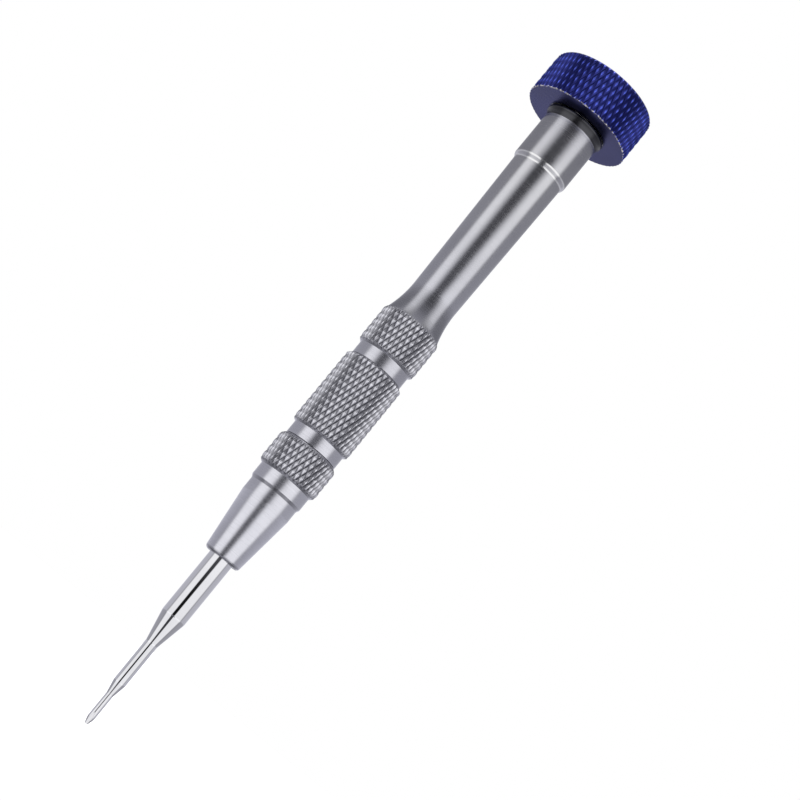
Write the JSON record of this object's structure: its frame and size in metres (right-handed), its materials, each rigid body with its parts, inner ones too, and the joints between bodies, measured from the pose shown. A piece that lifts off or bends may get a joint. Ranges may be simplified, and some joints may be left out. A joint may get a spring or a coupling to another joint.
{
  "type": "watchmaker screwdriver",
  "caption": "Slim watchmaker screwdriver with knurled aluminium handle, collet-held three-wing blade and free-spinning blue finger cap on a ball bearing.",
  "frame": {"origin": "centre of the flat at the blade's end", "axes": "+Z along the tool's axis, from the blade's end towards the finger cap; one flute of the blade faces -Y"},
  "size_m": [0.018, 0.018, 0.1227],
  "materials": {
    "handle_aluminium": "satin gunmetal grey anodised, fine turning lines, diamond knurled bands",
    "sleeve_aluminium": "satin gunmetal grey anodised, turned cone and diamond knurled band",
    "cap_blue_aluminium": "deep blue anodised, diamond knurled rim, satin underside",
    "blade_steel": "bright polished steel with ground tip",
    "collet_brass": "plain turned brass",
    "bearing_steel": "ground bearing steel",
    "cage_steel": "pressed steel ribbon",
    "shield_steel": "pressed steel",
    "clip_steel": "spring wire",
    "spacer_steel": "flat washer steel",
    "screw_steel": "zinc plated steel",
    "ball_steel": "polished chrome steel"
  },
  "bodies": {
    "handle": {"handle_body": "handle_aluminium", "bearing_inner_ring": "bearing_steel", "bearing_spacer": "spacer_steel", "bearing_screw": "screw_steel"},
    "cap": {"cap_shell": "cap_blue_aluminium", "bearing_outer_ring": "bearing_steel", "bearing_shield_lower": "shield_steel", "bearing_shield_upper": "shield_steel", "shield_clip_lower": "clip_steel", "shield_clip_upper": "clip_steel"},
    "cage": {"bearing_cage_lower": "cage_steel", "bearing_cage_upper": "cage_steel"},
    "collet": {"collet": "collet_brass"},
    "sleeve": {"chuck_sleeve": "sleeve_aluminium"},
    "blade": {"blade": "blade_steel"},
    "ball_1": {"bearing_ball_1": "ball_steel"},
    "ball_2": {"bearing_ball_2": "ball_steel"},
    "ball_3": {"bearing_ball_3": "ball_steel"},
    "ball_4": {"bearing_ball_4": "ball_steel"},
    "ball_5": {"bearing_ball_5": "ball_steel"},
    "ball_6": {"bearing_ball_6": "ball_steel"},
    "ball_7": {"bearing_ball_7": "ball_steel"}
  },
  "joints": [
    {"name": "cap_spin", "type": "hinge", "parent": "handle", "child": "cap", "pos_m": [0, 0, 0.1177], "axis": [0, 0, 1], "continuous": true},
    {"name": "cage_spin", "type": "hinge", "parent": "handle", "child": "cage", "pos_m": [0, 0, 0.1177], "axis": [0, 0, 1], "continuous": true},
    {"name": "collet_travel", "type": "slide", "parent": "handle", "child": "collet", "axis": [0, 0, -1], "range_m": [0, 0.001]},
    {"name": "sleeve_turn", "type": "hinge", "parent": "collet", "child": "sleeve", "pos_m": [0, 0, 0.04], "axis": [0, 0, -1], "range_deg": [0, 720]},
    {"name": "blade_slide", "type": "slide", "parent": "collet", "child": "blade", "axis": [0, 0, -1], "range_m": [0, 0.012]},
    {"name": "ball_1_spin", "type": "hinge", "parent": "cage", "child": "ball_1", "pos_m": [0.00325, 0, 0.1177], "axis": [0, 0, 1], "continuous": true},
    {"name": "ball_2_spin", "type": "hinge", "parent": "cage", "child": "ball_2", "pos_m": [0.00203, 0.00254, 0.1177], "axis": [0, 0, 1], "continuous": true},
    {"name": "ball_3_spin", "type": "hinge", "parent": "cage", "child": "ball_3", "pos_m": [-0.00072, 0.00317, 0.1177], "axis": [0, 0, 1], "continuous": true},
    {"name": "ball_4_spin", "type": "hinge", "parent": "cage", "child": "ball_4", "pos_m": [-0.00293, 0.00141, 0.1177], "axis": [0, 0, 1], "continuous": true},
    {"name": "ball_5_spin", "type": "hinge", "parent": "cage", "child": "ball_5", "pos_m": [-0.00293, -0.00141, 0.1177], "axis": [0, 0, 1], "continuous": true},
    {"name": "ball_6_spin", "type": "hinge", "parent": "cage", "child": "ball_6", "pos_m": [-0.00072, -0.00317, 0.1177], "axis": [0, 0, 1], "continuous": true},
    {"name": "ball_7_spin", "type": "hinge", "parent": "cage", "child": "ball_7", "pos_m": [0.00203, -0.00254, 0.1177], "axis": [0, 0, 1], "continuous": true}
  ],
  "couplings": [
    {"joint": "cage_spin", "follows": "cap_spin", "ratio": 0.62215},
    {"joint": "sleeve_turn", "follows": "collet_travel", "rad_per_m": 12566},
    {"joint": "ball_1_spin", "follows": "cap_spin", "ratio": 1.9244},
    {"joint": "ball_2_spin", "follows": "cap_spin", "ratio": 1.9244},
    {"joint": "ball_3_spin", "follows": "cap_spin", "ratio": 1.9244},
    {"joint": "ball_4_spin", "follows": "cap_spin", "ratio": 1.9244},
    {"joint": "ball_5_spin", "follows": "cap_spin", "ratio": 1.9244},
    {"joint": "ball_6_spin", "follows": "cap_spin", "ratio": 1.9244},
    {"joint": "ball_7_spin", "follows": "cap_spin", "ratio": 1.9244}
  ]
}
